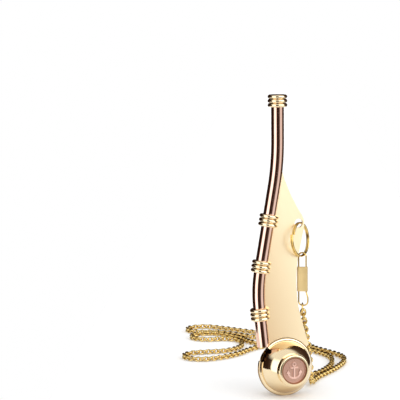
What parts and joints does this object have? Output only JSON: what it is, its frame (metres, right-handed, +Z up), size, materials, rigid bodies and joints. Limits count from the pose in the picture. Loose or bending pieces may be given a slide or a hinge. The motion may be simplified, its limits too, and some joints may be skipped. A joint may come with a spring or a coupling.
{
  "type": "boatswain call",
  "caption": "Boatswain call: bent copper pipe on a brass keel plate with a hollow ball, split ring, sliding clip and neck chain.",
  "frame": {"origin": "point where the ball stands on the surface", "axes": "+Z up towards the mouth end, keel plate in the XZ plane, front medallion faces -Y"},
  "size_m": [0.0741, 0.1796, 0.129],
  "materials": {
    "polished_brass": "polished",
    "polished_copper": "polished",
    "copper_medallion": "satin",
    "brass_wire": "polished",
    "satin_brass": "satin",
    "brass_chain": "polished"
  },
  "bodies": {
    "call": {"gun_pipe": "polished_copper", "mouth_ring_1": "polished_brass", "mouth_ring_2": "polished_brass", "mouth_ring_3": "polished_brass", "upper_ring_1": "polished_brass", "upper_ring_2": "polished_brass", "upper_ring_3": "polished_brass", "middle_ring_1": "polished_brass", "middle_ring_2": "polished_brass", "middle_ring_3": "polished_brass", "lower_ring_1": "polished_brass", "lower_ring_2": "polished_brass", "lower_ring_3": "polished_brass", "keel": "polished_brass", "seam_band": "polished_brass", "front_dome": "polished_brass", "back_dome": "polished_brass", "front_bezel": "polished_brass", "back_bezel": "polished_brass", "front_medallion": "copper_medallion", "back_medallion": "copper_medallion", "chain_on_surface": "brass_chain"},
    "ring": {"split_ring": "brass_wire"},
    "clip": {"clip_wire": "brass_wire"},
    "sleeve": {"clip_sleeve": "satin_brass"},
    "chain": {"chain_end_ring": "brass_wire", "chain_front_strand": "brass_chain", "chain_back_strand": "brass_chain"}
  },
  "joints": [
    {"name": "ring_swing", "type": "hinge", "parent": "call", "child": "ring", "pos_m": [0.0063, 0, 0.074], "axis": [0, -1, 0], "range_deg": [0, 30]},
    {"name": "clip_swing", "type": "hinge", "parent": "ring", "child": "clip", "pos_m": [0.0083, 0.00029, 0.05979], "axis": [0, -1, 0], "range_deg": [-30, 0]},
    {"name": "sleeve_slide", "type": "slide", "parent": "clip", "child": "sleeve", "axis": [0, 0, 1], "range_m": [0, 0.003]},
    {"name": "chain_swing", "type": "hinge", "parent": "clip", "child": "chain", "pos_m": [0.0083, 0.00029, 0.03839], "axis": [0, -1, 0], "range_deg": [-11, 0]}
  ],
  "couplings": [
    {"joint": "clip_swing", "follows": "ring_swing", "ratio": -1},
    {"joint": "chain_swing", "follows": "ring_swing", "ratio": -0.3667}
  ]
}
